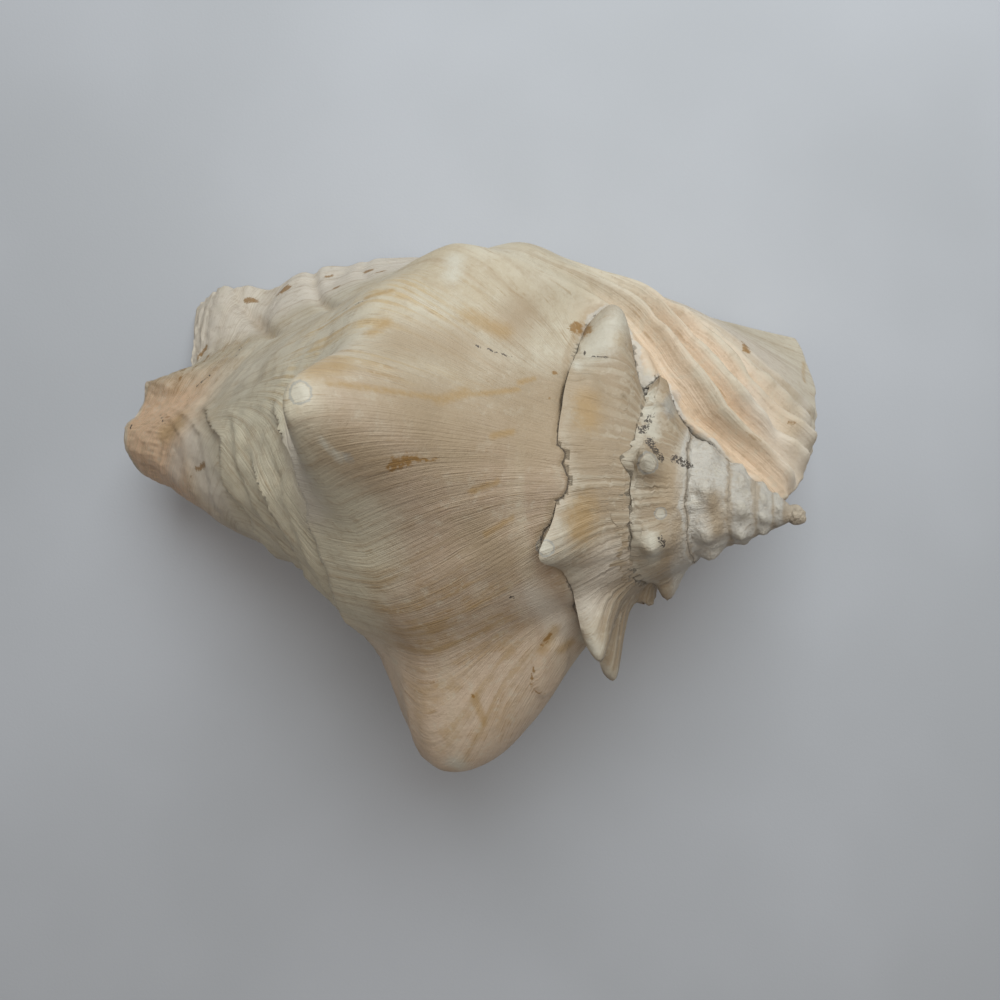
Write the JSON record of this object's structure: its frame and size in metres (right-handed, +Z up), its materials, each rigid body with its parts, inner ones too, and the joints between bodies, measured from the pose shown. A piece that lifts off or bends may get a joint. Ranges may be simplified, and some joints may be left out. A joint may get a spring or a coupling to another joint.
{
  "type": "queen conch shell",
  "caption": "Large weathered conch shell with a spired, spiny whorl, a siphonal canal and a wide flared lip, lying with its aperture down.",
  "frame": {"origin": "centre of the bounding box's bottom face, at the height of the surface the shell lies on", "axes": "+X towards the apex of the spire, +Y towards the flared outer lip, +Z up, with the aperture facing down"},
  "size_m": [0.2554, 0.1842, 0.1538],
  "materials": {
    "shell": "chalky, weathered calcium carbonate, cream with ochre and peach bands"
  },
  "bodies": {
    "root": {"conch_shell": "shell"}
  },
  "joints": []
}
